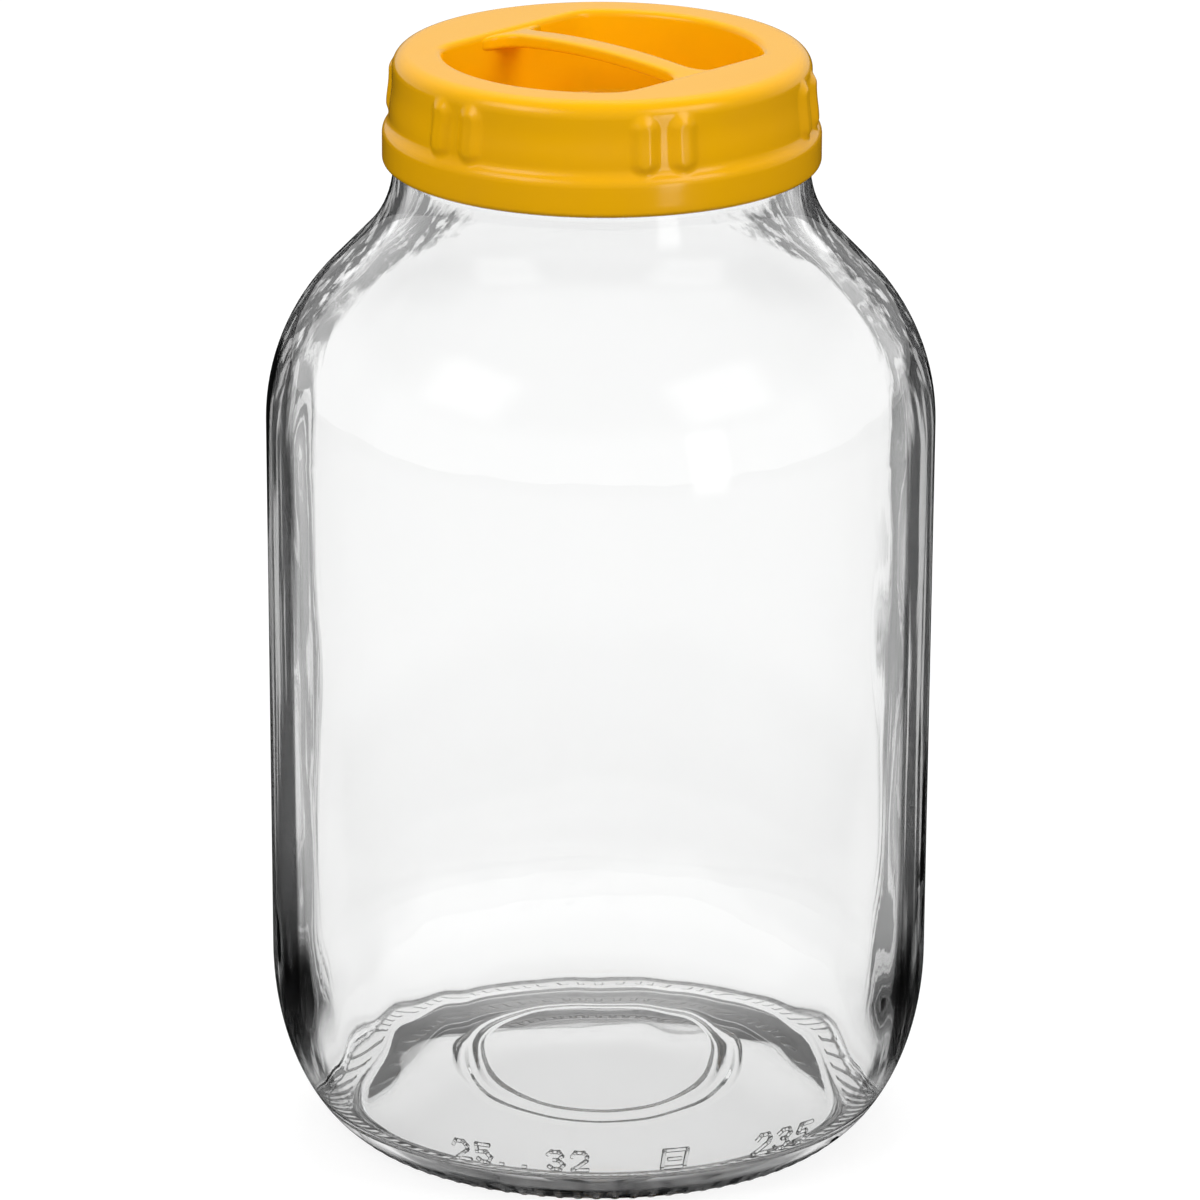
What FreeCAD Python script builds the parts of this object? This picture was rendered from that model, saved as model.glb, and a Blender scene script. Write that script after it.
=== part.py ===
import FreeCAD, Part
import math
import os

from FreeCAD import Vector

os.makedirs("parts", exist_ok=True)

# A wide-mouth glass jar and its moulded twist-off cap with a carry bar, as two solids.
# Millimetres. The origin is on the axis, in the plane that the jar stands on. +Z is up and +X runs
# along the carry bar.

# ------------------------------------------------------------------ driving dimensions of the jar
BODY_R = 83.5            # widest outside radius, at the top of the wall
HEEL_TOP_R = 82.9        # outside radius at the top of the heel: the wall tapers a little towards it
HEEL_TOP_Z = 45.0        # height of the top of the heel
HEEL_IN = 28.2           # the heel is an ellipse: its half width
HEEL_DOWN = 47.8         # and its half height, which the standing plane cuts off a little early
STAND_IN_R = 57.0        # inner edge of the flat ring that the jar stands on
PUSH_UP = 10.4           # rise of the hollow underside at its middle
STAND_ROUND = 2.0        # rounding of both edges of that ring
MOULD_RING_R = 31.0      # radius of the ring that the mould's bottom plug leaves
MOULD_RING_SECTION = 1.4 # radius of that groove's round section
MOULD_RING_DEEP = 0.7    # its depth
SHOULDER_Z = 184.5       # height where the shoulder's arc leaves the wall
SHOULDER_R = 53.1        # radius of the shoulder's convex arc
SLOPE_TURN = 43.9        # slope of the shoulder below the neck, in degrees from upright
SLOPE_RUN = 13.6         # length of the straight slope between the two arcs
NECK_ARC_R = 27.3        # radius of the hollow arc under the neck
BEAD = 3.2               # height of the bead on which the sealing collar stands
COLLAR_R = 49.2          # outside radius of the sealing collar
MOUTH_R = 45.2           # radius of the mouth
LIP_ROUND = 1.8          # rounding of the sealing lip
WALL = 5.4               # thickness of the wall, shoulder and neck
INNER_HEEL_Z = 62.0      # height of the top of the inner heel
INNER_HEEL_PULL = 28.5   # how far the inner heel keeps on down before it bends in
FLOOR_PULL = 5.0         # how far it then runs out flat, into the floor
FLOOR_Z = 9.2            # height of the inside floor at its edge
FLOOR_R = 63.5           # radius of the inside floor, where the inner heel begins
FLOOR_CROWN = 9.4        # rise of the domed inside floor at its middle

# ------------------------------------------------------------------ driving dimensions of the cap
CAP_TOP_Z = 278.6        # height of the cap's top
CAP_HEIGHT = 28.0        # height of the cap
BAND_R = 54.3            # outside radius of the plain band round its hem
BAND_HEIGHT = 7.6        # height of that band
STEP_HEIGHT = 4.6        # height of the soft step from the band in to the side
SIDE_R = 51.8            # outside radius of the side above the step
SHOULDER_ROUND = 4.2     # rounding between side and top
HEM_ROUND = 1.5          # rounding of the hem
CAP_WALL = 1.9           # thickness of the skirt and the pocket
TOP_WALL = 2.2           # thickness of the ring that sits on the jar's lip
POCKET_R = 39.4          # radius of the hand pocket
POCKET_FLAT = 30.9       # distance of its two flat walls from the axis
POCKET_DEPTH = 22.0      # depth of the pocket
POCKET_CORNER = 3.0      # rounding between its flat and round walls
POCKET_FOOT = 2.0        # rounding between its walls and floor
POCKET_EDGE = 1.8        # rounding of its upper edge
BAR_WIDTH = 7.0          # width of the carry bar
BAR_THICK = 3.2          # thickness of the bar at its middle
BAR_TOP_SAG = 1.8        # how far the arched bar's upper side falls towards its ends
BAR_UNDER_SAG = 2.4      # how far its under side falls
BAR_ABOVE_TOP = 1.2      # how far the bar's highest point stands above the cap's top
BAR_HOLD = 10.0          # height in which the bar and its flares are cut out
BAR_FLARE = 7.0          # radius of the flares that join it to the flat walls
BAR_ROUND = 1.0          # rounding of its long edges
RIB_PAIRS = 6            # pairs of grip ribs round the side
RIB_PAIR_TURN = 10.8     # turn from one rib of a pair to the other, in degrees
RIB_WIDTH = 5.0          # width of a rib
RIB_FOOT = 8.0           # height of a rib's lower end above the hem
RIB_HEAD = 24.0          # height of its upper end above the hem
RIB_OUT = 1.7            # how far a rib stands out of the side
RIB_ROUND = 0.6          # rounding of a rib's edge

# ------------------------------------------------------------------ worked out from them
LIP_Z = CAP_TOP_Z - TOP_WALL
HEM_Z = CAP_TOP_Z - CAP_HEIGHT
POCKET_FLOOR_Z = CAP_TOP_Z - POCKET_DEPTH
BASE = Vector(0, 0, 0)
UP = Vector(0, 0, 1)
TINY = 1e-4


# ------------------------------------------------------------------ outlines and edges
def at(radius, height):
    """A point of an outline, in the plane through the axis."""
    return Vector(radius, 0, height)


def beside(point, reach, turn):
    """The point at a distance from another, in a direction in degrees from outward to upward."""
    angle = math.radians(turn)
    return point + Vector(reach * math.cos(angle), 0, reach * math.sin(angle))


def round_arc(centre, radius, first, last):
    """An arc about a centre, from one direction to another, both in degrees."""
    points = [beside(centre, radius, turn) for turn in (first, (first + last) / 2, last)]
    return Part.Arc(*points).toShape()


def crown_arc(top_z, edge):
    """An arc from the axis, where it is level, to a point lower down."""
    fall = top_z - edge.z
    radius = (edge.x ** 2 + fall ** 2) / (2 * fall)
    edge_turn = 90 - math.degrees(math.asin(edge.x / radius))
    return round_arc(at(0, top_z - radius), radius, 90, edge_turn)


def heel_curve(centre, half_width, half_height, foot_z):
    """Part of an upright ellipse, from a foot height up to its widest point."""
    steps = 6
    lowest = math.asin((centre.z - foot_z) / half_height)
    points = []
    for step in range(steps, -1, -1):
        angle = lowest * step / steps
        points.append(centre + Vector(half_width * math.cos(angle), 0, -half_height * math.sin(angle)))
    curve = Part.BSplineCurve()
    curve.interpolate(points)
    return curve.toShape()


def inner_heel_curve():
    """The inner heel: from the upright wall in one sweep down to the edge of the domed floor."""
    fall = math.atan(2 * FLOOR_CROWN / FLOOR_R)
    top = at(HEEL_TOP_R - WALL, INNER_HEEL_Z)
    foot = at(FLOOR_R, FLOOR_Z)
    curve = Part.BezierCurve()
    curve.setPoles([
        foot,
        foot + Vector(FLOOR_PULL * math.cos(fall), 0, -FLOOR_PULL * math.sin(fall)),
        top - Vector(0, 0, INNER_HEEL_PULL),
        top,
    ])
    return curve.toShape()


def soft_step(inner_r, outer_r, top_z, height):
    """Two arcs that lead down from an upright at one radius to an upright at a larger one."""
    out = outer_r - inner_r
    radius = (height ** 2 + out ** 2) / (4 * out)
    turn = math.degrees(math.asin(height / 2 / radius))
    upper = round_arc(at(inner_r + radius, top_z), radius, 180, 180 + turn)
    lower = round_arc(at(outer_r - radius, top_z - height), radius, turn, 0)
    return upper, lower


def first_end(edge):
    return edge.valueAt(edge.FirstParameter)


def last_end(edge):
    return edge.valueAt(edge.LastParameter)


def turned(pieces):
    """The solid that a closed outline of edges and points sweeps round the axis.

    Straight edges fill the gaps between the pieces, and close the outline.
    """
    edges = []
    start = pen = None
    for piece in pieces:
        is_point = isinstance(piece, Vector)
        reached = piece if is_point else first_end(piece)
        if pen is None:
            start = reached
        elif pen.distanceToPoint(reached) > TINY:
            edges.append(Part.LineSegment(pen, reached).toShape())
        if not is_point:
            edges.append(piece)
        pen = piece if is_point else last_end(piece)
    edges.append(Part.LineSegment(pen, start).toShape())
    return Part.Face(Part.Wire(edges)).revolve(BASE, UP, 360)


def at_height(solid, height, widest=math.inf):
    """The edges of a solid that lie at a height, no further out than a radius."""
    level = [edge for edge in solid.Edges if abs(edge.BoundBox.ZMin - height) < TINY]
    level = [edge for edge in level if abs(edge.BoundBox.ZMax - height) < TINY]
    return [edge for edge in level if math.hypot(first_end(edge).x, first_end(edge).y) < widest + TINY]


def upright(solid):
    """The straight edges of a solid that run up and down."""
    return [edge for edge in solid.Edges if edge.BoundBox.XLength + edge.BoundBox.YLength < TINY]


# ------------------------------------------------------------------ the jar
def upper_arcs(inset):
    """Shoulder arc and neck arc, set in from the outside by a distance."""
    shoulder = round_arc(at(BODY_R - SHOULDER_R, SHOULDER_Z), SHOULDER_R - inset, 0, SLOPE_TURN)
    slope_end = beside(last_end(shoulder), SLOPE_RUN, SLOPE_TURN + 90)
    neck_centre = beside(slope_end, NECK_ARC_R + inset, SLOPE_TURN)
    neck = round_arc(neck_centre, NECK_ARC_R + inset, SLOPE_TURN + 180, 180)
    return shoulder, neck


def mould_ring():
    """The round groove that the mould's bottom plug leaves in the underside."""
    crown = crown_arc(PUSH_UP, at(STAND_IN_R, 0))
    radius = (STAND_IN_R ** 2 + PUSH_UP ** 2) / (2 * PUSH_UP)
    surface_z = first_end(crown).z - radius + math.sqrt(radius ** 2 - MOULD_RING_R ** 2)
    centre_z = surface_z - MOULD_RING_SECTION + MOULD_RING_DEEP
    return Part.makeTorus(MOULD_RING_R, MOULD_RING_SECTION, at(0, centre_z), UP)


def jar_solid():
    """The blown glass: heel, tapered wall, shoulder, bead and sealing collar, hollow inside."""
    shoulder, neck = upper_arcs(0)
    inner_shoulder, inner_neck = upper_arcs(WALL)
    bead_top_z = last_end(neck).z + BEAD
    heel_centre = at(HEEL_TOP_R - HEEL_IN, HEEL_TOP_Z)
    outside = turned([
        crown_arc(PUSH_UP, at(STAND_IN_R, 0)),
        heel_curve(heel_centre, HEEL_IN, HEEL_DOWN, 0),
        shoulder,
        neck,
        at(last_end(neck).x, bead_top_z),
        at(COLLAR_R, bead_top_z),
        round_arc(at(COLLAR_R - LIP_ROUND, LIP_Z - LIP_ROUND), LIP_ROUND, 0, 90),
        at(0, LIP_Z),
    ])
    outside = outside.makeFillet(STAND_ROUND, at_height(outside, 0))
    inside = turned([
        crown_arc(FLOOR_Z + FLOOR_CROWN, at(FLOOR_R, FLOOR_Z)),
        inner_heel_curve(),
        inner_shoulder,
        inner_neck,
        at(MOUTH_R, bead_top_z),
        round_arc(at(MOUTH_R + LIP_ROUND, LIP_Z - LIP_ROUND), LIP_ROUND, 180, 90),
        at(MOUTH_R + LIP_ROUND, CAP_TOP_Z),
        at(0, CAP_TOP_Z),
    ])
    return outside.cut(inside).cut(mould_ring())


# ------------------------------------------------------------------ the cap
def well(outset, floor_z, top_z):
    """A round block with two flat sides, the form of the pocket, grown outwards by a distance."""
    radius = POCKET_R + outset
    flat = POCKET_FLAT + outset
    height = top_z - floor_z
    block = Part.makeBox(2 * flat, 2 * radius, height, Vector(-flat, -radius, floor_z))
    form = Part.makeCylinder(radius, height, at(0, floor_z)).common(block)
    form = form.makeFillet(POCKET_CORNER + outset, upright(form))
    return form.makeFillet(POCKET_FOOT + outset, at_height(form, floor_z))


def grip_rib():
    """One upright rib with round ends, on the +X side, its foot in the band and its root in the wall."""
    half = RIB_WIDTH / 2
    root_x = SIDE_R - CAP_WALL
    low = Vector(root_x, 0, HEM_Z + RIB_FOOT + half)
    high = Vector(root_x, 0, HEM_Z + RIB_HEAD - half)
    across = Vector(0, half, 0)
    outline = Part.Wire([
        Part.Arc(low - across, low - Vector(0, 0, half), low + across).toShape(),
        Part.LineSegment(low + across, high + across).toShape(),
        Part.Arc(high + across, high + Vector(0, 0, half), high - across).toShape(),
        Part.LineSegment(high - across, low - across).toShape(),
    ])
    rib = Part.Face(outline).extrude(Vector(CAP_WALL + RIB_OUT, 0, 0))
    rim = [edge for edge in rib.Edges if edge.BoundBox.XMin > root_x + CAP_WALL]
    return rib.makeFillet(RIB_ROUND, rim)


def grip_ribs():
    """All ribs: pairs that stand beside, and square to, the carry bar."""
    ribs = []
    for pair in range(RIB_PAIRS):
        middle = (pair + 0.5) * 360 / RIB_PAIRS
        for side in (-0.5, 0.5):
            rib = grip_rib()
            rib.rotate(BASE, UP, middle + side * RIB_PAIR_TURN)
            ribs.append(rib)
    return ribs


def skirt_hollow():
    """The space inside the skirt, up to the ring that sits on the jar's lip."""
    band_in = BAND_R - CAP_WALL
    side_in = SIDE_R - CAP_WALL
    round_in = SHOULDER_ROUND - CAP_WALL
    return turned([
        at(0, HEM_Z - HEM_ROUND),
        at(band_in, HEM_Z - HEM_ROUND),
        at(band_in, HEM_Z + BAND_HEIGHT),
        at(side_in, HEM_Z + BAND_HEIGHT + STEP_HEIGHT),
        round_arc(at(side_in - round_in, LIP_Z - round_in), round_in, 0, 90),
        at(0, LIP_Z),
    ])


def carry_bar():
    """The arched bar across the pocket, flared where it runs into the flat walls."""
    reach = POCKET_FLAT + CAP_WALL / 2
    half = BAR_WIDTH / 2
    top_z = CAP_TOP_Z + BAR_ABOVE_TOP
    plan = Part.makeBox(2 * reach, BAR_WIDTH, BAR_HOLD, Vector(-reach, -half, top_z - BAR_HOLD))
    for end in (-1, 1):
        for side in (-1, 1):
            corner_x = POCKET_FLAT - BAR_FLARE if end > 0 else -reach
            corner_y = half if side > 0 else -half - BAR_FLARE
            corner = Vector(corner_x, corner_y, top_z - BAR_HOLD)
            web = Part.makeBox(reach - POCKET_FLAT + BAR_FLARE, BAR_FLARE, BAR_HOLD, corner)
            bend = Vector(end * (POCKET_FLAT - BAR_FLARE), side * (half + BAR_FLARE), top_z - BAR_HOLD)
            plan = plan.fuse(web.cut(Part.makeCylinder(BAR_FLARE, BAR_HOLD, bend)))
    plan = plan.removeSplitter()

    def arch(middle_z, sag):
        ends = [Vector(way * reach, -half - BAR_FLARE, middle_z - sag) for way in (-1, 1)]
        middle = Vector(0, -half - BAR_FLARE, middle_z)
        return Part.Arc(ends[0], middle, ends[1]).toShape()

    upper = arch(top_z, BAR_TOP_SAG)
    under = arch(top_z - BAR_THICK, BAR_UNDER_SAG)
    profile = Part.Wire([
        upper,
        Part.LineSegment(last_end(upper), last_end(under)).toShape(),
        under,
        Part.LineSegment(first_end(under), first_end(upper)).toShape(),
    ])
    bar = Part.Face(profile).extrude(Vector(0, BAR_WIDTH + 2 * BAR_FLARE, 0)).common(plan)
    long_edges = [edge for edge in bar.Edges if edge.BoundBox.XLength > POCKET_FLAT]
    return bar.makeFillet(BAR_ROUND, long_edges)


def cap_solid():
    """The one-piece moulded cap: skirt, grip ribs, sealing ring, pocket and carry bar."""
    blank = turned([
        at(0, CAP_TOP_Z),
        round_arc(at(SIDE_R - SHOULDER_ROUND, CAP_TOP_Z - SHOULDER_ROUND), SHOULDER_ROUND, 90, 0),
        *soft_step(SIDE_R, BAND_R, HEM_Z + BAND_HEIGHT + STEP_HEIGHT, STEP_HEIGHT),
        round_arc(at(BAND_R - HEM_ROUND, HEM_Z + HEM_ROUND), HEM_ROUND, 0, -90),
        at(0, HEM_Z),
    ])
    blank = blank.fuse(grip_ribs()).removeSplitter()
    pocket_outside = well(CAP_WALL, POCKET_FLOOR_Z - CAP_WALL, CAP_TOP_Z)
    cap = blank.cut(skirt_hollow().cut(pocket_outside))
    cap = cap.cut(well(0, POCKET_FLOOR_Z, CAP_TOP_Z))
    cap = cap.makeFillet(POCKET_EDGE, at_height(cap, CAP_TOP_Z, POCKET_R))
    return cap.fuse(carry_bar()).removeSplitter()


# ------------------------------------------------------------------ one file for each piece
PIECES = {"jar": jar_solid(), "lid": cap_solid()}
for name, shape in PIECES.items():
    solid = shape.Solids[0]
    print(name, "solids", len(shape.Solids), "valid", shape.isValid(), "volume cm3", round(shape.Volume / 1000, 1))
    solid.exportStep(f"parts/{name}.step")
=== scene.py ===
import bisect
import logging
import math
from dataclasses import dataclass
from enum import Enum
from typing import Sequence, TypeAlias, Union

import bmesh
import bpy
from mathutils import Matrix, Vector, noise


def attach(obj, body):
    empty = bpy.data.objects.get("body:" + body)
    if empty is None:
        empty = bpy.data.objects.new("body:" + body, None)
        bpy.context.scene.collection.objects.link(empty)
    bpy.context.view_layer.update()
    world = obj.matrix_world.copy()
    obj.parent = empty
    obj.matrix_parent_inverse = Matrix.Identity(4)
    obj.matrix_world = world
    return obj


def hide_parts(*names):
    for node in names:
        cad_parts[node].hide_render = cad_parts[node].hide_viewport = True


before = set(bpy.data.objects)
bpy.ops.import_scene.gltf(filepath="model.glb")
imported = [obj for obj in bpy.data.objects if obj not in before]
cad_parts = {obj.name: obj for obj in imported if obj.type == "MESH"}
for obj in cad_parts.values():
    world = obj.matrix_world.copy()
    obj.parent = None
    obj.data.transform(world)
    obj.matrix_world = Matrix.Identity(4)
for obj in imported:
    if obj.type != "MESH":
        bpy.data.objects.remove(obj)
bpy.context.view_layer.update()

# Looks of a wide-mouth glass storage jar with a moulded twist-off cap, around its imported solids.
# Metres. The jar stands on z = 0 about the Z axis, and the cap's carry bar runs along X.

Tree: TypeAlias = bpy.types.ShaderNodeTree
Socket: TypeAlias = bpy.types.NodeSocket
Colour: TypeAlias = tuple[float, float, float]
Zone: TypeAlias = tuple[float, float]
Feed: TypeAlias = Union[bpy.types.NodeSocket, float, tuple[float, ...]]

log = logging.getLogger("storage_jar")
MM = 0.001
ON_AXIS = 1e-9
WELD = 0.001 * MM


class Way(Enum):
    """Which way the pen follows the glass."""

    UP = "up"
    DOWN = "down"


class Ray(Enum):
    """How a ray came to the floor or to the surroundings."""

    SEEN = "straight, or straight through glass"
    MIRRORED = "off a gloss"
    TURNED = "turned aside inside glass"


# ---------------------------------------------------------------- modelling helpers
class Pen:
    """Draws an outline in the XZ plane of a bmesh, as a chain of vertices and edges."""

    def __init__(self, bm: bmesh.types.BMesh, radius: float, height: float) -> None:
        """Sets the pen down.

        Args:
            bm: the mesh that takes the outline.
            radius: distance of the first point from the axis.
            height: height of the first point.
        """
        self.bm = bm
        self.tip = bm.verts.new((radius, 0, height))

    def line(self, radius: float, height: float, pieces: int = 1) -> None:
        """Draws a straight run to a point.

        Args:
            radius: distance of the point from the axis.
            height: height of the point.
            pieces: number of equal pieces.
        """
        step = (Vector((radius, 0, height)) - self.tip.co) / pieces
        for _ in range(pieces):
            made = bmesh.ops.extrude_vert_indiv(self.bm, verts=[self.tip])
            self.tip = made["verts"][0]
            bmesh.ops.translate(self.bm, verts=[self.tip], vec=step)

    def sweep(self, start_pull: Vector, end_pull: Vector, end: Vector, pieces: int) -> None:
        """Draws a smooth sweep to a point.

        Args:
            start_pull: pull of the curve away from where the pen is.
            end_pull: pull of the curve away from its end.
            end: where it ends.
            pieces: number of straight pieces.
        """
        start = self.tip.co.copy()
        for share in (step / pieces for step in range(1, pieces + 1)):
            rest = 1 - share
            point = start * rest ** 3 + (start + start_pull) * 3 * rest ** 2 * share
            point += (end + end_pull) * 3 * rest * share ** 2 + end * share ** 3
            self.line(point.x, point.z)

    def arc(self, centre: tuple[float, float], turn: float, pieces: int) -> list[bmesh.types.BMVert]:
        """Draws a circular arc about a centre.

        Args:
            centre: radius and height of the arc's centre.
            turn: degrees to turn, positive from outward to upward.
            pieces: number of straight pieces.

        Returns:
            The new vertices.
        """
        before = set(self.bm.verts)
        made = bmesh.ops.spin(self.bm, geom=[self.tip], cent=(centre[0], 0, centre[1]), axis=(0, 1, 0),
                              dvec=(0, 0, 0), angle=-math.radians(turn), steps=pieces,
                              use_merge=False, use_normal_flip=False, use_duplicate=False)
        self.tip = [item for item in made["geom_last"] if isinstance(item, bmesh.types.BMVert)][0]
        return [vert for vert in self.bm.verts if vert not in before]


def lathe(bm: bmesh.types.BMesh, steps: int) -> None:
    """Sweeps everything in the mesh once round the axis and closes the poles.

    Args:
        bm: a mesh that holds an outline in the XZ plane.
        steps: number of steps in the full turn.
    """
    bmesh.ops.spin(bm, geom=bm.verts[:] + bm.edges[:], cent=(0, 0, 0), axis=(0, 0, 1), dvec=(0, 0, 0),
                   angle=math.tau, steps=steps, use_merge=True, use_normal_flip=False, use_duplicate=False)
    bmesh.ops.remove_doubles(bm, verts=bm.verts, dist=WELD)
    bmesh.ops.recalc_face_normals(bm, faces=bm.faces)


def finished(bm: bmesh.types.BMesh, name: str, material: bpy.types.Material) -> bpy.types.Object:
    """Makes an object of a bmesh, smooth all over, at the origin.

    Args:
        bm: the mesh, which is freed.
        name: name of the object.
        material: its only material.

    Returns:
        The object, linked to the scene.
    """
    mesh = bpy.data.meshes.new(name)
    bm.to_mesh(mesh)
    bm.free()
    mesh.shade_smooth()
    mesh.materials.append(material)
    piece = bpy.data.objects.new(name, mesh)
    bpy.context.scene.collection.objects.link(piece)
    return piece


def ease(low: float, high: float, value: float) -> float:
    """Rises smoothly from 0 at low to 1 at high.

    Args:
        low: value up to which the result is 0.
        high: value from which the result is 1.
        value: where to look.

    Returns:
        A share from 0 to 1.
    """
    share = min(max((value - low) / (high - low), 0.0), 1.0)
    return share * share * (3 - 2 * share)


def radius_of(vert: bmesh.types.BMVert) -> float:
    """Distance of a vertex from the axis."""
    return math.hypot(vert.co.x, vert.co.y)


def turn_of(vert: bmesh.types.BMVert) -> float:
    """Direction of a vertex round the axis, in radians."""
    return math.atan2(vert.co.y, vert.co.x)


def spread(vert: bmesh.types.BMVert, scale: float) -> None:
    """Moves a vertex level, straight out from the axis or in to it."""
    vert.co.x *= scale
    vert.co.y *= scale


# ---------------------------------------------------------------- material helpers
def new_material(name: str) -> tuple[bpy.types.Material, Tree, bpy.types.ShaderNode]:
    """Makes a material.

    Args:
        name: its name.

    Returns:
        The material, its node tree and its Principled shader.
    """
    material = bpy.data.materials.new(name)
    material.use_nodes = True
    tree = material.node_tree
    shader = next(node for node in tree.nodes if node.type == "BSDF_PRINCIPLED")
    return material, tree, shader


def add(tree: Tree, kind: str, **settings: object) -> bpy.types.ShaderNode:
    """Adds a node.

    Args:
        tree: the tree that takes it.
        kind: the node's type.
        settings: its options by name.

    Returns:
        The node.
    """
    node = tree.nodes.new(kind)
    for key, value in settings.items():
        setattr(node, key, value)
    return node


def feed(tree: Tree, socket: Socket, source: Feed) -> None:
    """Links a socket to its source, or sets it where the source is a plain value.

    Args:
        tree: the tree that holds the socket.
        socket: the input to feed.
        source: a node's output, or a number, vector or colour.
    """
    if isinstance(source, bpy.types.NodeSocket):
        tree.links.new(source, socket)
    else:
        socket.default_value = source


def math_node(tree: Tree, operation: str, *sources: Feed) -> Socket:
    """Adds a Math node.

    Args:
        tree: the tree that takes it.
        operation: what it works out.
        sources: sockets or numbers for its inputs.

    Returns:
        Its result.
    """
    node = add(tree, "ShaderNodeMath", operation=operation)
    for socket, source in zip(node.inputs, sources):
        feed(tree, socket, source)
    return node.outputs["Value"]


def product(tree: Tree, first: Feed, *others: Feed) -> Feed:
    """Multiplies sockets and numbers one after another.

    Args:
        tree: the tree that takes the nodes.
        first: socket or number to start from.
        others: sockets or numbers to multiply it by.

    Returns:
        The product.
    """
    for other in others:
        first = math_node(tree, "MULTIPLY", first, other)
    return first


def map_range(tree: Tree, value: Socket, zone: Zone, to: Zone = (0.0, 1.0)) -> Socket:
    """Adds a smooth Map Range node.

    Args:
        tree: the tree that takes it.
        value: what it reads.
        zone: the values between which the result changes.
        to: the results at both ends of the zone.

    Returns:
        Its result.
    """
    node = add(tree, "ShaderNodeMapRange", interpolation_type="SMOOTHSTEP")
    for name, number in zip(("From Min", "From Max", "To Min", "To Max"), (*zone, *to)):
        node.inputs[name].default_value = number
    feed(tree, node.inputs["Value"], value)
    return node.outputs["Result"]


def mix(tree: Tree, share: Feed, first: Feed, second: Feed, colours: bool = False) -> Socket:
    """Mixes two values or two colours.

    Args:
        tree: the tree that takes the node.
        share: 0 for the first, 1 for the second.
        first: value or colour with alpha.
        second: value or colour with alpha.
        colours: whether colours are mixed.

    Returns:
        The mix.
    """
    node = add(tree, "ShaderNodeMix", data_type="RGBA" if colours else "FLOAT")
    used = [socket for socket in node.inputs if socket.enabled]
    for socket, source in zip(used, (share, first, second)):
        feed(tree, socket, source)
    return next(socket for socket in node.outputs if socket.enabled)


def parts_of(tree: Tree, vector: Socket) -> bpy.types.bpy_prop_collection:
    """Splits a vector.

    Args:
        tree: the tree that takes the node.
        vector: the vector.

    Returns:
        The node's outputs, X, Y and Z.
    """
    node = add(tree, "ShaderNodeSeparateXYZ")
    feed(tree, node.inputs["Vector"], vector)
    return node.outputs


def length_of(tree: Tree, vector: Socket) -> Socket:
    """Measures a vector.

    Args:
        tree: the tree that takes the node.
        vector: the vector.

    Returns:
        Its length.
    """
    node = add(tree, "ShaderNodeVectorMath", operation="LENGTH")
    feed(tree, node.inputs[0], vector)
    return node.outputs["Value"]


class Streaks:
    """The node group that all finishes share: soft blotches stretched along Z, in object coordinates."""

    detail: float = 3.0
    roughness: float = 0.6

    def __init__(self) -> None:
        """Builds the group."""
        group = bpy.data.node_groups.new("moulding_streaks", "ShaderNodeTree")
        for name, way in (("Scale", "INPUT"), ("Stretch", "INPUT"), ("Value", "OUTPUT")):
            group.interface.new_socket(name, in_out=way, socket_type="NodeSocketFloat")
        source = add(group, "NodeGroupInput")
        result = add(group, "NodeGroupOutput")
        place = add(group, "ShaderNodeTexCoord")
        stretch = add(group, "ShaderNodeCombineXYZ")
        stretch.inputs["X"].default_value = 1.0
        stretch.inputs["Y"].default_value = 1.0
        feed(group, stretch.inputs["Z"], source.outputs["Stretch"])
        squeeze = add(group, "ShaderNodeVectorMath", operation="MULTIPLY")
        feed(group, squeeze.inputs[0], place.outputs["Object"])
        feed(group, squeeze.inputs[1], stretch.outputs["Vector"])
        cloud = add(group, "ShaderNodeTexNoise")
        cloud.inputs["Detail"].default_value = self.detail
        cloud.inputs["Roughness"].default_value = self.roughness
        feed(group, cloud.inputs["Vector"], squeeze.outputs["Vector"])
        feed(group, cloud.inputs["Scale"], source.outputs["Scale"])
        feed(group, result.inputs["Value"], cloud.outputs["Fac"])
        self.group = group

    def place(self, tree: Tree, scale: float, stretch: float) -> Socket:
        """Adds the group to a material.

        Args:
            tree: the material's tree.
            scale: blotches to a metre, about.
            stretch: 1 for round blotches, less for long ones.

        Returns:
            The pattern, from 0 to 1.
        """
        node = add(tree, "ShaderNodeGroup", node_tree=self.group)
        node.inputs["Scale"].default_value = scale
        node.inputs["Stretch"].default_value = stretch
        return node.outputs["Value"]


def roughen(tree: Tree, shader: bpy.types.ShaderNode, height: Socket, strength: Feed, rise: float) -> None:
    """Gives a shader's surface a fine relief.

    Args:
        tree: the material's tree.
        shader: the shader.
        height: the relief's pattern.
        strength: how much of it shows.
        rise: height of the full pattern.
    """
    bump = add(tree, "ShaderNodeBump")
    feed(tree, bump.inputs["Strength"], strength)
    bump.inputs["Distance"].default_value = rise
    feed(tree, bump.inputs["Height"], height)
    feed(tree, shader.inputs["Normal"], bump.outputs["Normal"])


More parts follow.
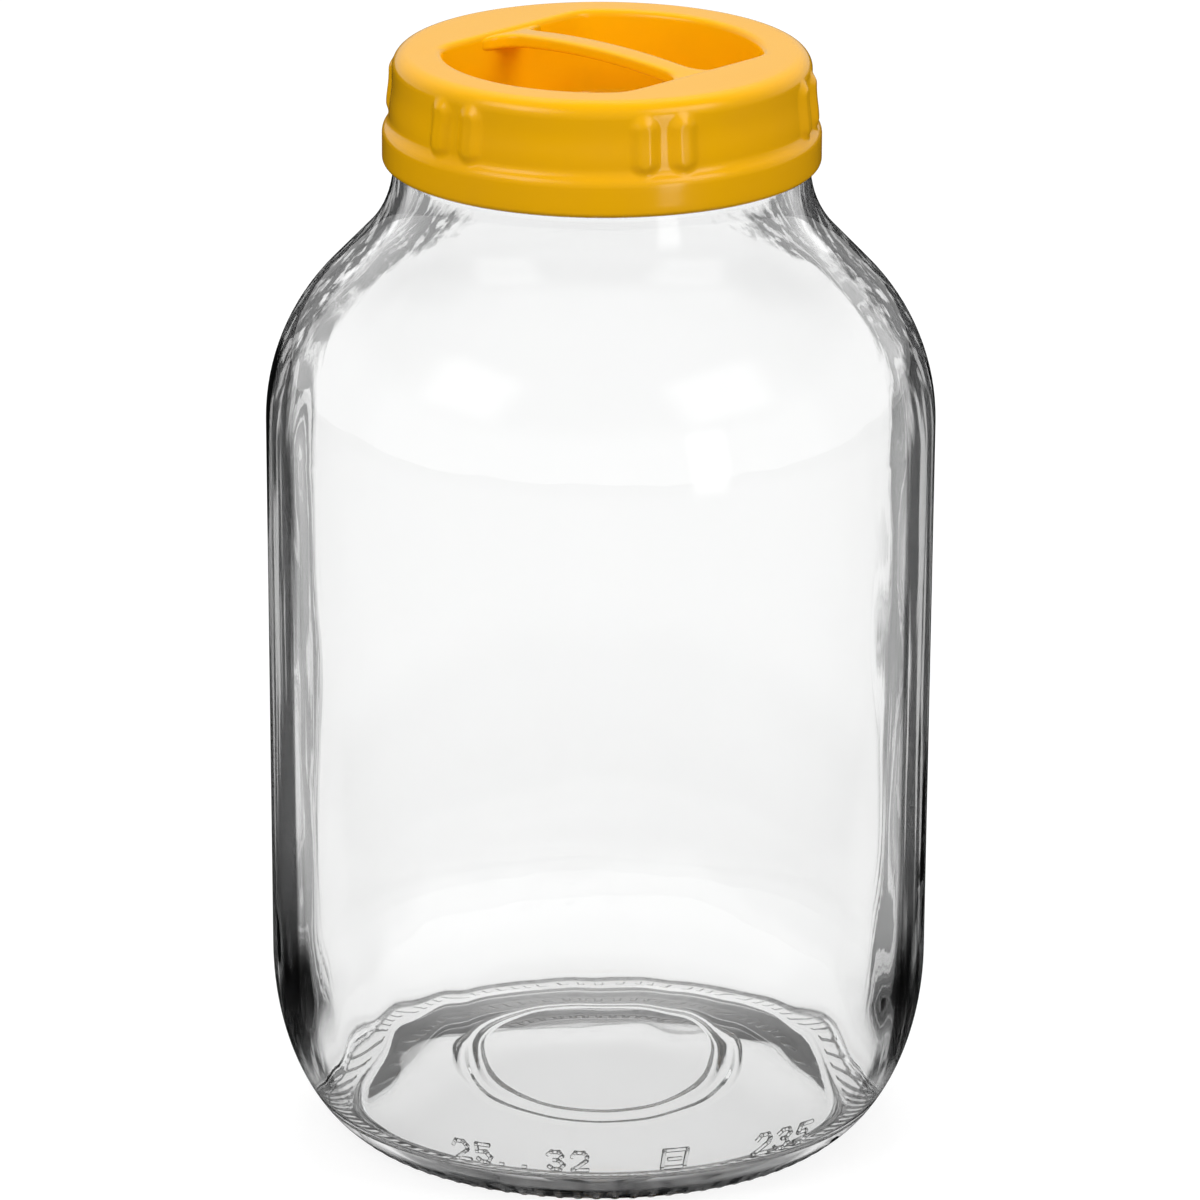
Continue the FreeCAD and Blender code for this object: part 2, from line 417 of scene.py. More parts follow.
# ---------------------------------------------------------------- finishes
@dataclass(frozen=True)
class GlassFinish:
    """Clear flint glass with painted shade: its colour turns near black where it is seen edge on, and along
    its thick foot.
    """

    name: str = "flint_glass"
    ior: float = 1.52
    tint: Colour = (0.952, 0.954, 0.953)
    # edge: near-black colour of the painted shade at the glass's edges and foot
    edge: Colour = (0.004, 0.0042, 0.0045)
    edge_zone: Zone = (0.58, 0.67)
    level_zone: Zone = (0.70, 0.92)
    wall_zone: Zone = (12.0 * MM, 26.0 * MM)
    streak_scale: float = 230.0
    streak_stretch: float = 0.04
    streak_shift: float = 0.20
    streak_zone: Zone = (0.39, 0.48)
    streak_depth: Zone = (0.50, 0.985)
    direct_depth: float = 2.5
    uneven: float = 0.05
    uneven_rise: float = 0.1 * MM
    # foot_zone, foot_edge, foot_ticks: where the painted shade on the jar's foot lies
    foot_zone: Zone = (4.0 * MM, 6.2 * MM)
    foot_edge: Zone = (64.0 * MM, 66.0 * MM)
    foot_ticks: int = 88
    tick_zone: Zone = (0.10, 0.24)
    tick_depth: Zone = (0.95, 1.0)
    cloud_zone: Zone = (0.38, 0.55)
    cloud_depth: Zone = (0.93, 1.0)

    def make(self, streaks: Streaks) -> bpy.types.Material:
        """Makes the material.

        Args:
            streaks: the shared streak pattern.

        Returns:
            The glass.
        """
        material, tree, shader = new_material(self.name)
        shader.inputs["IOR"].default_value = self.ior
        shader.inputs["Transmission Weight"].default_value = 1.0
        shader.inputs["Roughness"].default_value = 0.0
        place = add(tree, "ShaderNodeTexCoord")
        fine = streaks.place(tree, self.streak_scale, self.streak_stretch)
        wall = map_range(tree, parts_of(tree, place.outputs["Object"])["Z"], self.wall_zone)
        # Painted shade: the clear tint is mixed to near black by the edge and foot masks.
        edge = product(tree, self.painted_edge_shade(tree, place.outputs["Normal"], fine), wall)
        dark = math_node(tree, "MAXIMUM", edge, self.painted_foot_shade(tree, place.outputs["Object"], fine))
        colour = mix(tree, dark, (*self.tint, 1), (*self.edge, 1), colours=True)
        feed(tree, shader.inputs["Base Color"], colour)
        roughen(tree, shader, fine, product(tree, wall, self.uneven), self.uneven_rise)
        return material

    def painted_edge_shade(self, tree: Tree, normal: Socket, fine: Socket) -> Feed:
        """Painted shade where the wall is seen edge on, in streaks, standing in for the dark that the glass
        reflects and bends in at its edges.

        Args:
            tree: the material's tree.
            normal: the surface's normal on the object.
            fine: the streak pattern.

        Returns:
            The mask, which counts only on the first surfaces that a ray meets.
        """
        facing = add(tree, "ShaderNodeLayerWeight")
        facing.inputs["Blend"].default_value = 0.5
        shift = product(tree, math_node(tree, "SUBTRACT", fine, 0.5), self.streak_shift)
        edge = map_range(tree, math_node(tree, "ADD", facing.outputs["Facing"], shift), self.edge_zone)
        level = math_node(tree, "ABSOLUTE", parts_of(tree, normal)["Z"])
        steep = map_range(tree, level, self.level_zone, (1.0, 0.0))
        line = map_range(tree, fine, self.streak_zone, self.streak_depth)
        path = add(tree, "ShaderNodeLightPath")
        direct = math_node(tree, "LESS_THAN", path.outputs["Ray Depth"], self.direct_depth)
        return product(tree, edge, steep, line, direct)

    def painted_foot_shade(self, tree: Tree, place: Socket, fine: Socket) -> Feed:
        """Painted shade on the thick foot outside the standing ring, where the jar meets the floor, broken up
        beside the knurls.

        Args:
            tree: the material's tree.
            place: object coordinates.
            fine: the streak pattern.

        Returns:
            The mask.
        """
        parts = parts_of(tree, place)
        flat = add(tree, "ShaderNodeCombineXYZ")
        feed(tree, flat.inputs["X"], parts["X"])
        feed(tree, flat.inputs["Y"], parts["Y"])
        low = map_range(tree, parts["Z"], self.foot_zone, (1.0, 0.0))
        wide = map_range(tree, length_of(tree, flat.outputs["Vector"]), self.foot_edge)
        angle = math_node(tree, "ARCTAN2", parts["Y"], parts["X"])
        step = math_node(tree, "FRACT", product(tree, angle, self.foot_ticks / math.tau))
        beside = math_node(tree, "ABSOLUTE", math_node(tree, "SUBTRACT", step, 0.5))
        tick = map_range(tree, beside, self.tick_zone, self.tick_depth)
        cloud = map_range(tree, fine, self.cloud_zone, self.cloud_depth)
        return product(tree, low, wide, tick, cloud)


@dataclass(frozen=True)
class PlasticFinish:
    """Glossy moulded plastic with a faint flow pattern."""

    name: str = "yellow_polypropylene"
    colour: Colour = (0.880, 0.445, 0.0014)
    deep: Colour = (0.83, 0.400, 0.0010)
    flow_scale: float = 45.0
    flow_stretch: float = 0.7
    flow_zone: Zone = (0.3, 0.75)
    gloss: Zone = (0.13, 0.24)
    ior: float = 1.49
    coat: float = 0.25
    coat_roughness: float = 0.05
    grain_scale: float = 700.0
    grain: float = 0.05
    grain_rise: float = 0.1 * MM

    def make(self, streaks: Streaks) -> bpy.types.Material:
        """Makes the material.

        Args:
            streaks: the shared streak pattern.

        Returns:
            The plastic.
        """
        material, tree, shader = new_material(self.name)
        flow = streaks.place(tree, self.flow_scale, self.flow_stretch)
        colour = mix(tree, flow, (*self.colour, 1), (*self.deep, 1), colours=True)
        feed(tree, shader.inputs["Base Color"], colour)
        feed(tree, shader.inputs["Roughness"], map_range(tree, flow, self.flow_zone, self.gloss))
        shader.inputs["IOR"].default_value = self.ior
        shader.inputs["Coat Weight"].default_value = self.coat
        shader.inputs["Coat Roughness"].default_value = self.coat_roughness
        grain = streaks.place(tree, self.grain_scale, 1.0)
        roughen(tree, shader, grain, self.grain, self.grain_rise)
        return material


# ---------------------------------------------------------------- the jar
@dataclass(frozen=True)
class JarPieces:
    """Into how many straight pieces the runs of the jar's outline are drawn."""

    standing_ring: int = 5
    heel: int = 28
    wall: int = 6
    shoulder: int = 16
    slope: int = 4
    neck: int = 10
    short_run: int = 2
    collar: int = 6
    lip: int = 5
    inner_wall: int = 20
    inner_heel: int = 26
    floor: int = 20


@dataclass
class GlassJar:
    """The blown glass body: one closed wall from the middle of the underside to the inside floor."""

    body_r: float = 83.5 * MM
    heel_top_r: float = 82.9 * MM
    heel_top_z: float = 45.0 * MM
    heel_in: float = 28.2 * MM
    heel_down: float = 47.8 * MM
    heel_start: float = 2.0 * MM
    stand_in_r: float = 57.0 * MM
    push_up: float = 10.4 * MM
    push_up_stops: tuple[tuple[float, int], ...] = ((28.5 * MM, 12), (36.5 * MM, 20), (57.0 * MM, 12))
    shoulder_z: float = 184.5 * MM
    shoulder_r: float = 53.1 * MM
    slope_turn: float = 43.9
    slope_run: float = 13.6 * MM
    neck_arc_r: float = 27.3 * MM
    bead: float = 3.2 * MM
    bead_slope: float = 0.6 * MM
    collar_r: float = 49.2 * MM
    mouth_r: float = 45.2 * MM
    lip_z: float = 276.4 * MM
    lip_round: float = 1.8 * MM
    wall: float = 5.4 * MM
    inner_heel_z: float = 62.0 * MM
    inner_heel_pull: float = 28.5 * MM
    floor_pull: float = 6.0 * MM
    floor_z: float = 9.2 * MM
    floor_r: float = 67.5 * MM
    floor_crown: float = 9.4 * MM
    turns: int = 264
    pieces: JarPieces = JarPieces()
    under_z: float = 6.5 * MM
    split_from: float = 57.5 * MM
    split_to: float = 70.5 * MM
    split_cuts: int = 3
    knurls: int = 88
    knurl_share: float = 0.36
    knurl_side: float = 0.08
    knurl_in: Zone = (59.8 * MM, 60.6 * MM)
    knurl_out: Zone = (66.3 * MM, 67.3 * MM)
    knurl_deep: float = 0.5 * MM
    knurl_shallow: Zone = (63.4 * MM, 65.0 * MM)
    knurl_loss: float = 0.8
    knurl_zone_r: float = 56.0 * MM
    cut_in: Zone = (57.2 * MM, 58.6 * MM)
    cut_out: Zone = (67.5 * MM, 70.0 * MM)
    ring_zone_r: float = 40.0 * MM
    ring_zone_skin: float = 0.5 * MM
    ring_r: float = 31.0 * MM
    ring_half: float = 1.3 * MM
    ring_deep: float = 0.7 * MM
    outer_ring_r: float = 34.6 * MM
    outer_ring_half: float = 1.04 * MM
    outer_ring_deep: float = 0.3 * MM
    wave: float = 0.30 * MM
    wave_zone: Zone = (16.0 * MM, 45.0 * MM)
    wave_top: float = 235.0 * MM
    wave_round: float = 3.2
    wave_along: float = 14.0
    wave_finer: float = 2.7
    heel_skin: float = 2.0 * MM
    floor_skin: float = 1.5 * MM
    floor_wave: float = 0.22 * MM
    floor_wave_r: float = 58.0 * MM
    floor_wave_rate: float = 55.0
    floor_wave_low: float = 8.2 * MM
    floor_wave_skin: float = 3.0 * MM
    floor_wave_middle: float = 14.4 * MM
    floor_wave_fall: float = 7.2 * MM

    def crown(self, pen: Pen, rise: float, reach: float, stops: Sequence[tuple[float, int]]) -> None:
        """Draws a shallow dome from the axis out to its edge.

        Args:
            pen: the pen, on the axis.
            rise: height of the dome.
            reach: radius of its edge.
            stops: radii to reach one after another, each with its number of pieces.
        """
        radius = (reach ** 2 + rise ** 2) / (2 * rise)
        centre = (0, pen.tip.co.z - radius)
        for stop, pieces in stops:
            turn = math.degrees(math.asin(stop / radius) - math.asin(pen.tip.co.x / radius))
            pen.arc(centre, -turn, pieces)

    def upper(self, pen: Pen, inset: float, way: Way) -> None:
        """Draws wall, shoulder, slope and neck.

        Args:
            pen: the pen, at the start of the run.
            inset: how far the run is set in from the outside.
            way: whether the run starts at the heel or at the neck.
        """
        turn = math.radians(self.slope_turn)
        shoulder_c = (self.body_r - self.shoulder_r, self.shoulder_z)
        radius = self.shoulder_r - inset
        slope_low = (shoulder_c[0] + radius * math.cos(turn), shoulder_c[1] + radius * math.sin(turn))
        slope_high = (slope_low[0] - self.slope_run * math.sin(turn),
                      slope_low[1] + self.slope_run * math.cos(turn))
        reach = self.neck_arc_r + inset
        neck_c = (slope_high[0] + reach * math.cos(turn), slope_high[1] + reach * math.sin(turn))
        if way is Way.UP:
            pen.line(self.body_r - inset, self.shoulder_z, self.pieces.wall)
            pen.arc(shoulder_c, self.slope_turn, self.pieces.shoulder)
            pen.line(*slope_high, self.pieces.slope)
            pen.arc(neck_c, -self.slope_turn, self.pieces.neck)
        else:
            pen.line(neck_c[0] - reach, neck_c[1], self.pieces.short_run)
            pen.arc(neck_c, self.slope_turn, self.pieces.neck)
            pen.line(*slope_low, self.pieces.slope)
            pen.arc(shoulder_c, -self.slope_turn, self.pieces.shoulder)
            pen.line(self.heel_top_r - inset, self.inner_heel_z, self.pieces.inner_wall)

    def heel(self, bm: bmesh.types.BMesh, pen: Pen) -> None:
        """Draws the standing ring and the heel, a stretched quarter round.

        Args:
            bm: the mesh that the pen draws in.
            pen: the pen, on the inner edge of the standing ring.
        """
        sink = math.asin(self.heel_top_z / self.heel_down)
        centre_r = self.heel_top_r - self.heel_in
        foot = centre_r + self.heel_in * math.cos(sink)
        pen.line(foot - self.heel_start, 0, self.pieces.standing_ring)
        start = pen.tip
        start.co = (foot, 0, self.heel_top_z - self.heel_in * math.sin(sink))
        curve = pen.arc((centre_r, self.heel_top_z), math.degrees(sink), self.pieces.heel)
        centre = Matrix.Translation((0, 0, -self.heel_top_z))
        bmesh.ops.scale(bm, vec=(1, 1, self.heel_down / self.heel_in), space=centre, verts=curve)
        start.co.z = 0

    def finish(self, pen: Pen) -> None:
        """Draws bead, collar, lip and mouth.

        Args:
            pen: the pen, at the top of the neck's outside.
        """
        run, lip = self.pieces.short_run, self.pieces.lip
        bead_z = pen.tip.co.z + self.bead
        lip_low = self.lip_z - self.lip_round
        pen.line(pen.tip.co.x, bead_z, run)
        pen.line(self.collar_r, bead_z + self.bead_slope, run)
        pen.line(self.collar_r, lip_low, self.pieces.collar)
        pen.arc((self.collar_r - self.lip_round, lip_low), 90, lip)
        pen.line(self.mouth_r + self.lip_round, self.lip_z)
        pen.arc((self.mouth_r + self.lip_round, lip_low), 90, lip)
        pen.line(self.mouth_r, bead_z, self.pieces.collar)

    def floor(self, pen: Pen) -> None:
        """Draws the inside heel and the domed floor.

        Args:
            pen: the pen, at the foot of the inner wall.
        """
        fall = math.atan(2 * self.floor_crown / self.floor_r)
        foot = Vector((self.floor_r, 0, self.floor_z))
        pull = Vector((math.cos(fall), 0, -math.sin(fall))) * self.floor_pull
        pen.sweep(Vector((0, 0, -self.inner_heel_pull)), pull, foot, self.pieces.inner_heel)
        radius = (self.floor_r ** 2 + self.floor_crown ** 2) / (2 * self.floor_crown)
        turn = math.degrees(math.asin(self.floor_r / radius))
        pen.arc((0, self.floor_z + self.floor_crown - radius), turn, self.pieces.floor)

    def outline(self, bm: bmesh.types.BMesh) -> None:
        """Draws the whole section of the glass.

        Args:
            bm: the mesh that takes it.
        """
        pen = Pen(bm, 0, self.push_up)
        self.crown(pen, self.push_up, self.stand_in_r, self.push_up_stops)
        self.heel(bm, pen)
        self.upper(pen, 0, Way.UP)
        self.finish(pen)
        self.upper(pen, self.wall, Way.DOWN)
        self.floor(pen)
        for vert in bm.verts:
            if vert.co.x < WELD / 10:
                vert.co.x = 0

    def knurl_rise(self, radius: float, turn: float) -> float:
        """How far the underside is cut back beside the knurls.

        Args:
            radius: distance from the axis.
            turn: direction round the axis, in radians.

        Returns:
            The depth of the cut.
        """
        zone = ease(*self.cut_in, radius) * (1 - ease(*self.cut_out, radius))
        across = abs((turn / math.tau * self.knurls) % 1 - 0.5)
        half = self.knurl_share / 2
        bar = 1 - ease(half - self.knurl_side, half + self.knurl_side, across)
        bar *= ease(*self.knurl_in, radius) * (1 - ease(*self.knurl_out, radius))
        deep = self.knurl_deep * (1 - self.knurl_loss * ease(*self.knurl_shallow, radius))
        return deep * zone * (1 - bar)

    def ring_rise(self, radius: float) -> float:
        """How far the plug's two rings are cut into the underside.

        Args:
            radius: distance from the axis.

        Returns:
            The depth of the cut.
        """
        main = max(1 - ((radius - self.ring_r) / self.ring_half) ** 2, 0.0)
        outer = max(1 - ((radius - self.outer_ring_r) / self.outer_ring_half) ** 2, 0.0)
        return self.ring_deep * main + self.outer_ring_deep * outer

    def splits(self, edge: bmesh.types.BMEdge) -> bool:
        """Whether an edge lies in the part of the underside that is split finely."""
        return all(self.split_from < radius_of(vert) < self.split_to and vert.co.z < self.under_z
                   for vert in edge.verts)

    def mould_marks(self, bm: bmesh.types.BMesh) -> None:
        """Splits the standing ring finely and forms its knurls and the plug's rings.

        Args:
            bm: the jar's mesh.
        """
        zone = [edge for edge in bm.edges if self.splits(edge)]
        bmesh.ops.subdivide_edges(bm, edges=zone, cuts=self.split_cuts, use_grid_fill=True)
        for vert in bm.verts:
            radius = radius_of(vert)
            if vert.co.z < self.under_z and radius > self.knurl_zone_r:
                vert.co.z += self.knurl_rise(radius, turn_of(vert))
            elif vert.co.z < self.push_up + self.ring_zone_skin and radius < self.ring_zone_r:
                vert.co.z += self.ring_rise(radius)

    def on_inner_wall(self, radius: float, height: float) -> bool:
        """Whether a place on the glass is on the inner side of its wall.

        Args:
            radius: distance from the axis.
            height: height of the place.

        Returns:
            True on the inner side.
        """
        if height > self.shoulder_z:
            rise = height - self.shoulder_z
            reach = self.shoulder_r - self.wall / 2
            return rise < reach and radius < self.body_r - self.shoulder_r + math.sqrt(reach ** 2 - rise ** 2)
        if height > self.heel_top_z:
            return radius < self.body_r - self.wall / 2
        drop = (self.heel_top_z - height) / self.heel_down
        outer = self.heel_top_r - self.heel_in + self.heel_in * math.sqrt(max(1 - drop ** 2, 0.0))
        return self.floor_wave_r < radius < outer - self.heel_skin and height > self.floor_z - self.floor_skin

    def on_floor(self, radius: float, height: float) -> bool:
        """Whether a place on the glass is on the inside floor.

        Args:
            radius: distance from the axis.
            height: height of the place.

        Returns:
            True on the floor, away from its edge.
        """
        dome = self.floor_wave_middle - self.floor_wave_fall * (radius / self.floor_r) ** 2
        under = self.push_up * (1 - (radius / self.stand_in_r) ** 2) + self.floor_wave_skin
        return radius < self.floor_wave_r and height > max(dome, self.floor_wave_low, under)

    def waves(self, bm: bmesh.types.BMesh) -> None:
        """Makes the inner side of wall and floor slightly uneven, as blown glass is.

        Args:
            bm: the jar's mesh.
        """
        for vert in bm.verts:
            radius, height = radius_of(vert), vert.co.z
            if radius < ON_AXIS:
                continue
            turn = turn_of(vert)
            if self.on_inner_wall(radius, height) and height < self.wave_top:
                place = Vector((math.cos(turn) * self.wave_round, math.sin(turn) * self.wave_round,
                                height * self.wave_along))
                push = noise.noise(place) + 0.5 * noise.noise(place * self.wave_finer)
                spread(vert, 1 + self.wave * push * ease(*self.wave_zone, height) / radius)
            elif self.on_floor(radius, height):
                place = Vector((vert.co.x, vert.co.y, 0)) * self.floor_wave_rate
                vert.co.z += self.floor_wave * noise.noise(place)

    def build(self, glass: bpy.types.Material) -> bpy.types.Object:
        """Models the jar.

        Args:
            glass: its material.

        Returns:
            The jar's object.
        """
        bm = bmesh.new()
        self.outline(bm)
        lathe(bm, self.turns)
        self.mould_marks(bm)
        self.waves(bm)
        return finished(bm, "jar_glass", glass)


# Strokes of the mould's signs, in shares of a sign's width and height.
SIGN_STROKES = {
    "2": (((0.0, 0.78), (0.22, 1.0), (0.78, 1.0), (1.0, 0.78), (0.95, 0.55), (0.0, 0.0), (1.0, 0.0)),),
    "3": (((0.0, 0.85), (0.25, 1.0), (0.75, 1.0), (0.95, 0.78), (0.7, 0.54), (0.4, 0.54)),
          ((0.7, 0.54), (1.0, 0.27), (0.75, 0.0), (0.25, 0.0), (0.0, 0.15))),
    "5": (((1.0, 1.0), (0.1, 1.0), (0.05, 0.58), (0.7, 0.62), (1.0, 0.32), (0.72, 0.0), (0.22, 0.0),
           (0.0, 0.14)),),
    "#": (((-0.1, 0.0), (-0.1, 1.0), (1.5, 1.0), (1.5, 0.0), (-0.1, 0.0)), ((0.3, 0.5), (1.1, 0.5))),
    ".": (((0.0, 0.0), (0.1, 0.0)),),
}


@dataclass(frozen=True)
class MouldMark:
    """One row of plain signs on the heel, at a direction round the axis in degrees."""

    signs: str
    turn: float
    size: float = 6.2 * MM


@dataclass
class HeelMarks:
    """Plain raised numbers of the mould, low on the front of the heel."""

    jar: GlassJar
    height: float = 12.6 * MM
    stroke: float = 1.0 * MM
    thick: float = 1.1 * MM
    stroke_edge: float = 0.26 * MM
    sign_wide: float = 0.58
    sign_gap: float = 0.95
    reading_r: float = 75.9 * MM
    climb_steps: int = 24
    marks: tuple[MouldMark, ...] = (MouldMark("25..", -70.6), MouldMark("32", -52.3), MouldMark("#", -33.0),
                                    MouldMark("235", -10.0, 6.6 * MM))

    def place(self, turn: float, up: float) -> Matrix:
        """A frame on the heel's outside.

        Args:
            turn: direction round the axis, in radians.
            up: height above the marks' foot, along the glass.

        Returns:
            The frame: X to the right, Y up along the glass, Z outward.
        """
        jar = self.jar
        sink = math.asin((jar.heel_top_z - self.height) / jar.heel_down)
        for _ in range(self.climb_steps):
            run = math.hypot(jar.heel_in * math.sin(sink), jar.heel_down * math.cos(sink))
            sink -= up / self.climb_steps / run
        radius = jar.heel_top_r - jar.heel_in + jar.heel_in * math.cos(sink)
        level = jar.heel_top_z - jar.heel_down * math.sin(sink)
        flat = Vector((math.cos(turn), math.sin(turn), 0))
        out = flat * (math.cos(sink) / jar.heel_in) + Vector((0, 0, -math.sin(sink) / jar.heel_down))
        out.normalize()
        side = Vector((-flat.y, flat.x, 0))
        turned = Matrix((side, out.cross(side), out)).transposed().to_4x4()
        return Matrix.Translation(flat * radius + Vector((0, 0, level))) @ turned

    def draw(self, bm: bmesh.types.BMesh, first: Vector, last: Vector, turn: float) -> None:
        """Adds one straight stroke with rounded edges.

        Args:
            bm: the marks' mesh.
            first: where the stroke starts, along and up from the middle of the row's foot.
            last: where it ends.
            turn: direction of the row's middle round the axis, in radians.
        """
        run, middle = last - first, (last + first) / 2
        bar = bmesh.ops.create_cube(bm, size=1.0)["verts"]
        bmesh.ops.scale(bm, verts=bar, vec=(run.length + self.stroke, self.stroke, self.thick))
        edges = list({edge for vert in bar for edge in vert.link_edges})
        made = bmesh.ops.bevel(bm, geom=edges, offset=self.stroke_edge, offset_type="OFFSET", segments=2,
                               profile=0.5, affect="EDGES", material=-1)
        bar = list({vert for face in made["faces"] for vert in face.verts})
        along = Matrix.Rotation(math.atan2(run.y, run.x), 4, "Z")
        here = self.place(turn + middle.x / self.reading_r, middle.y)
        bmesh.ops.transform(bm, verts=bar, matrix=here @ along)

    def write(self, bm: bmesh.types.BMesh, mark: MouldMark) -> None:
        """Adds one row of signs.

        Args:
            bm: the marks' mesh.
            mark: the row.
        """
        wide, gap = self.sign_wide * mark.size, self.sign_gap * mark.size
        start = -(len(mark.signs.rstrip(".")) * gap - (gap - wide)) / 2
        for index, sign in enumerate(mark.signs):
            for line in SIGN_STROKES[sign]:
                points = [Vector((start + index * gap + x * wide, y * mark.size)) for x, y in line]
                for first, last in zip(points, points[1:]):
                    self.draw(bm, first, last, math.radians(mark.turn))

    def build(self, glass: bpy.types.Material) -> bpy.types.Object:
        """Models all marks as one object.

        Args:
            glass: their material.

        Returns:
            The marks' object.
        """
        bm = bmesh.new()
        for mark in self.marks:
            self.write(bm, mark)
        bmesh.ops.recalc_face_normals(bm, faces=bm.faces)
        return finished(bm, "heel_marks", glass)


# ---------------------------------------------------------------- the cap
@dataclass(frozen=True)
class CapPieces:
    """Into how many straight pieces the runs of the cap's outline are drawn."""

    pocket_floor: int = 10
    pocket_foot: int = 5
    pocket_wall: int = 8
    pocket_edge: int = 7
    top: int = 5
    shoulder: int = 14
    side: int = 18
    flare: int = 22
    step: int = 8
    band: int = 4
    hem: int = 6
    inner_run: int = 3
    inner_corner: int = 5
    inner_pocket: int = 4
    inner_floor: int = 8


@dataclass
class TwistOffCap:
    """The one-piece moulded cap: skirt with paired ribs, top ring, hand pocket and carry bar."""

    top_z: float = 278.6 * MM
    height: float = 28.0 * MM
    band_r: float = 54.3 * MM
    band_height: float = 7.4 * MM
    step_height: float = 4.6 * MM
    flare_height: float = 9.0 * MM
    flare_out: float = 0.7 * MM
    flare_pull: float = 0.4
    side_r: float = 51.8 * MM
    shoulder_round: float = 4.2 * MM
    hem_round: float = 1.5 * MM
    hem_edge: float = 0.2 * MM
    cap_wall: float = 1.9 * MM
    top_wall: float = 2.2 * MM
    inner_corner: float = 2.3 * MM
    inner_edge: float = 0.6 * MM
    pocket_r: float = 39.4 * MM
    pocket_flat: float = 30.9 * MM
    pocket_depth: float = 22.0 * MM
    pocket_foot: float = 2.0 * MM
    pocket_edge: float = 1.8 * MM
    pocket_skin: float = 0.7 * MM
    corner_power: float = 34.0
    bar_width: float = 7.0 * MM
    bar_thick: float = 3.2 * MM
    bar_top_sag: float = 1.8 * MM
    bar_under_sag: float = 2.4 * MM
    bar_above_top: float = 1.2 * MM
    bar_flare: float = 7.0 * MM
    bar_sunk: float = 1.0 * MM
    bar_sides: int = 32
    bar_pieces: int = 64
    bar_power: float = 5.0
    rib_pairs: int = 6
    rib_pair_turn: float = 10.8
    rib_width: float = 8.4 * MM
    rib_foot: float = 9.2 * MM
    rib_head: float = 25.2 * MM
    rib_out: float = 1.3 * MM
    rib_edge: float = 3.3 * MM
    rib_skin: float = 1.6 * MM
    rib_below: float = 1.5 * MM
    rib_margin: float = 1.0 * MM
    rib_behind_band: float = 0.2 * MM
    rib_density: float = 3.0
    rib_share: float = 0.48
    turns: int = 640
    pieces: CapPieces = CapPieces()

    def hem_z(self) -> float:
        """Height of the cap's lower edge."""
        return self.top_z - self.height

    def draw_top(self, pen: Pen) -> None:
        """Draws the pocket, as if it were round all the way, and the top ring out to the side.

        Args:
            pen: the pen, on the axis at the pocket's floor.
        """
        pieces, foot, edge = self.pieces, self.pocket_foot, self.pocket_edge
        floor = self.top_z - self.pocket_depth
        pen.line(self.pocket_r - foot, floor, pieces.pocket_floor)
        pen.arc((self.pocket_r - foot, floor + foot), 90, pieces.pocket_foot)
        pen.line(self.pocket_r, self.top_z - edge, pieces.pocket_wall)
        pen.arc((self.pocket_r + edge, self.top_z - edge), -90, pieces.pocket_edge)
        pen.line(self.side_r - self.shoulder_round, self.top_z, pieces.top)
        shoulder_c = (self.side_r - self.shoulder_round, self.top_z - self.shoulder_round)
        pen.arc(shoulder_c, -90, pieces.shoulder)

    def draw_skirt(self, pen: Pen) -> None:
        """Draws the side, its flare, the soft step and the band down to the hem.

        Args:
            pen: the pen, at the foot of the shoulder.
        """
        pieces, hem = self.pieces, self.hem_z()
        step_low = hem + self.band_height
        step_top = step_low + self.step_height
        flared = self.side_r + self.flare_out
        pull = Vector((0, 0, self.flare_pull * self.flare_height))
        pen.line(self.side_r, step_top + self.flare_height, pieces.side)
        pen.sweep(-pull, pull, Vector((flared, 0, step_top)), pieces.flare)
        out = self.band_r - flared
        bend = (self.step_height ** 2 + out ** 2) / (4 * out)
        turn = math.degrees(math.asin(self.step_height / 2 / bend))
        pen.arc((flared + bend, step_top), turn, pieces.step)
        pen.arc((self.band_r - bend, step_low), -turn, pieces.step)
        pen.line(self.band_r, hem + self.hem_round, pieces.band)
        pen.arc((self.band_r - self.hem_round, hem + self.hem_round), -90, pieces.hem)

    def draw_inside(self, pen: Pen) -> None:
        """Draws the inner side of the whole moulding back to the axis.

        Args:
            pen: the pen, on the hem.
        """
        pieces, hem, foot = self.pieces, self.hem_z(), self.pocket_foot
        floor, lip = self.top_z - self.pocket_depth, self.top_z - self.top_wall
        inner, side_in = self.band_r - self.cap_wall, self.side_r - self.cap_wall
        pocket_out = self.pocket_r + self.cap_wall
        step_low = hem + self.band_height
        pen.line(inner + self.hem_edge, hem)
        pen.line(inner, hem + self.hem_edge)
        pen.line(inner, step_low, pieces.inner_run)
        pen.line(side_in, step_low + self.step_height, pieces.inner_run)
        pen.line(side_in, lip - self.inner_corner, pieces.inner_run)
        pen.arc((side_in - self.inner_corner, lip - self.inner_corner), 90, pieces.inner_corner)
        pen.line(pocket_out + self.inner_edge, lip, pieces.inner_run)
        pen.line(pocket_out, lip - self.inner_edge)
        pen.line(pocket_out, floor + foot, pieces.inner_pocket)
        pen.arc((self.pocket_r - foot, floor + foot), -90, pieces.pocket_foot)
        pen.line(0, floor - self.cap_wall, pieces.inner_floor)

    def pocket_reach(self, turn: float) -> float:
        """Share of the round pocket's radius that its outline has in a direction, in radians."""
        flat = self.pocket_flat / self.pocket_r / max(abs(math.cos(turn)), ON_AXIS)
        return (1 + flat ** -self.corner_power) ** (-1 / self.corner_power)

    def shape_pocket(self, bm: bmesh.types.BMesh) -> None:
        """Pulls the round pocket in to its two flat walls.

        Args:
            bm: the cap's mesh.
        """
        fixed = self.side_r - self.shoulder_round
        moving = self.pocket_r + self.cap_wall + self.pocket_skin
        for vert in bm.verts:
            radius = radius_of(vert)
            if ON_AXIS <= radius <= fixed:
                reach = self.pocket_reach(turn_of(vert))
                spread(vert, reach + (1 - reach) * ease(moving, fixed, radius))

